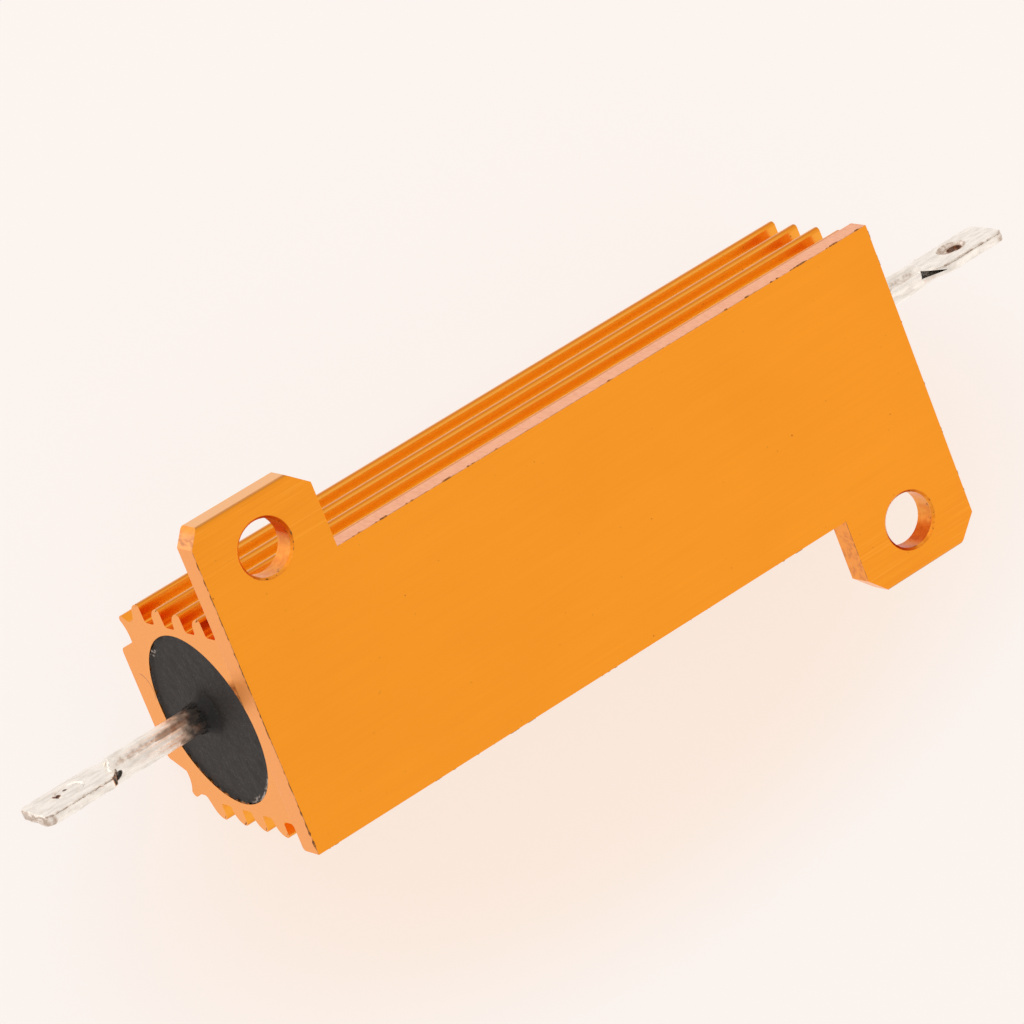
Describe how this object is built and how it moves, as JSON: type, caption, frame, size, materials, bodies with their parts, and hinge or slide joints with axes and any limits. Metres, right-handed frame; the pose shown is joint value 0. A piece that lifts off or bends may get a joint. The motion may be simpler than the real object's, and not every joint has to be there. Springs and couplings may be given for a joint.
{
  "type": "aluminium housed power resistor",
  "caption": "Wire-wound power resistor in a finned gold anodised aluminium housing, with drilled mounting tabs at opposite corners and flattened solder lugs at the ends.",
  "frame": {"origin": "centre of the mounting face, which is also the bottom centre of the whole object's box", "axes": "+X along the extrusion and both terminals, +Z from the mounting face towards the label pad, +Y across, with the tabs at (-X, -Y) and (+X, +Y)"},
  "size_m": [0.0754, 0.027, 0.0149],
  "materials": {
    "anodised_housing": "gold anodised, satin, with fine extrusion lines",
    "black_moulding": "matte, finely speckled",
    "ceramic": "unglazed",
    "resistance_alloy": "drawn nickel-chromium ribbon",
    "cap_steel": "pressed, plated steel",
    "tinned_terminal": "hot tinned, bright, stained brown near the housing"
  },
  "bodies": {
    "root": {"housing": "anodised_housing", "moulding": "black_moulding", "ceramic_core": "ceramic", "resistance_winding": "resistance_alloy", "end_cap_left": "cap_steel", "end_cap_right": "cap_steel", "terminal_left": "tinned_terminal", "terminal_right": "tinned_terminal"}
  },
  "joints": []
}
